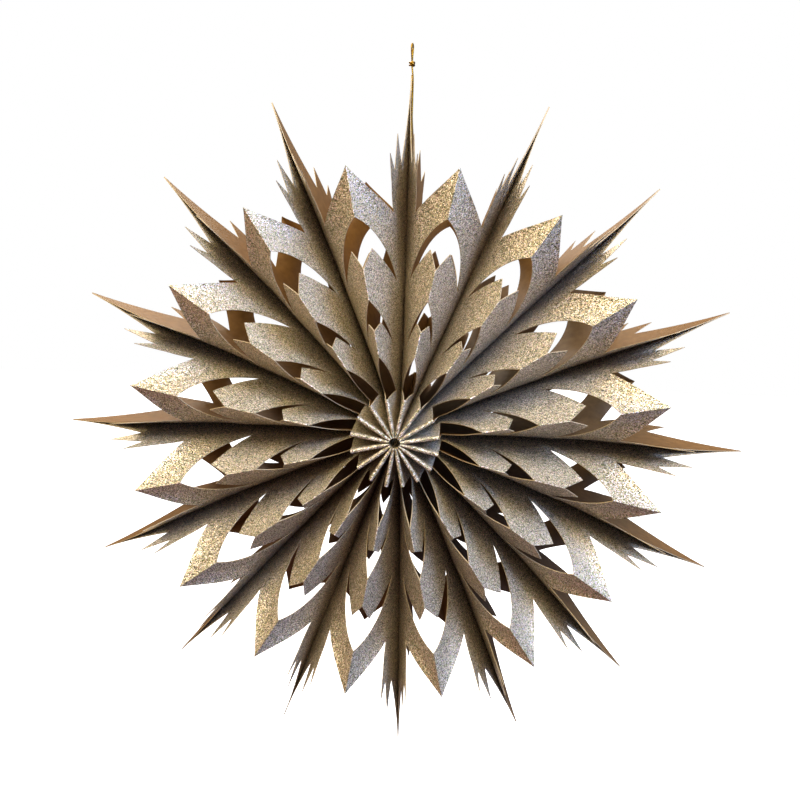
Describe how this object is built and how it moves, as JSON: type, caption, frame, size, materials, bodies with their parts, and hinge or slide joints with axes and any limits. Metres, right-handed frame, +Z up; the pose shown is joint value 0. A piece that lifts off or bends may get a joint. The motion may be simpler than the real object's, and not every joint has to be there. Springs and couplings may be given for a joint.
{
  "type": "folded paper star",
  "caption": "Hanging paper star: folded glitter card pockets glued side by side into a full ring, cut with leaf-shaped windows and toothed spikes, on a gold cord loop.",
  "frame": {"origin": "centre of the star, where the pockets' glued lines meet, halfway through its depth", "axes": "+Z up towards the spike that carries the cord, -Y out of the star's front, +X to the right seen from the front"},
  "size_m": [0.3997, 0.128, 0.4175],
  "materials": {
    "glitter_card": "champagne gold glitter outside, smooth tan inside",
    "metallic_cord": "metallic gold thread"
  },
  "bodies": {
    "root": {"pocket_01": "glitter_card", "pocket_02": "glitter_card", "pocket_03": "glitter_card", "pocket_04": "glitter_card", "pocket_05": "glitter_card", "pocket_06": "glitter_card", "pocket_07": "glitter_card", "pocket_08": "glitter_card", "pocket_09": "glitter_card", "pocket_10": "glitter_card", "pocket_11": "glitter_card", "pocket_12": "glitter_card", "pocket_13": "glitter_card", "pocket_14": "glitter_card", "pocket_15": "glitter_card", "pocket_16": "glitter_card", "hanging_cord": "metallic_cord", "cord_knot": "metallic_cord"}
  },
  "joints": []
}
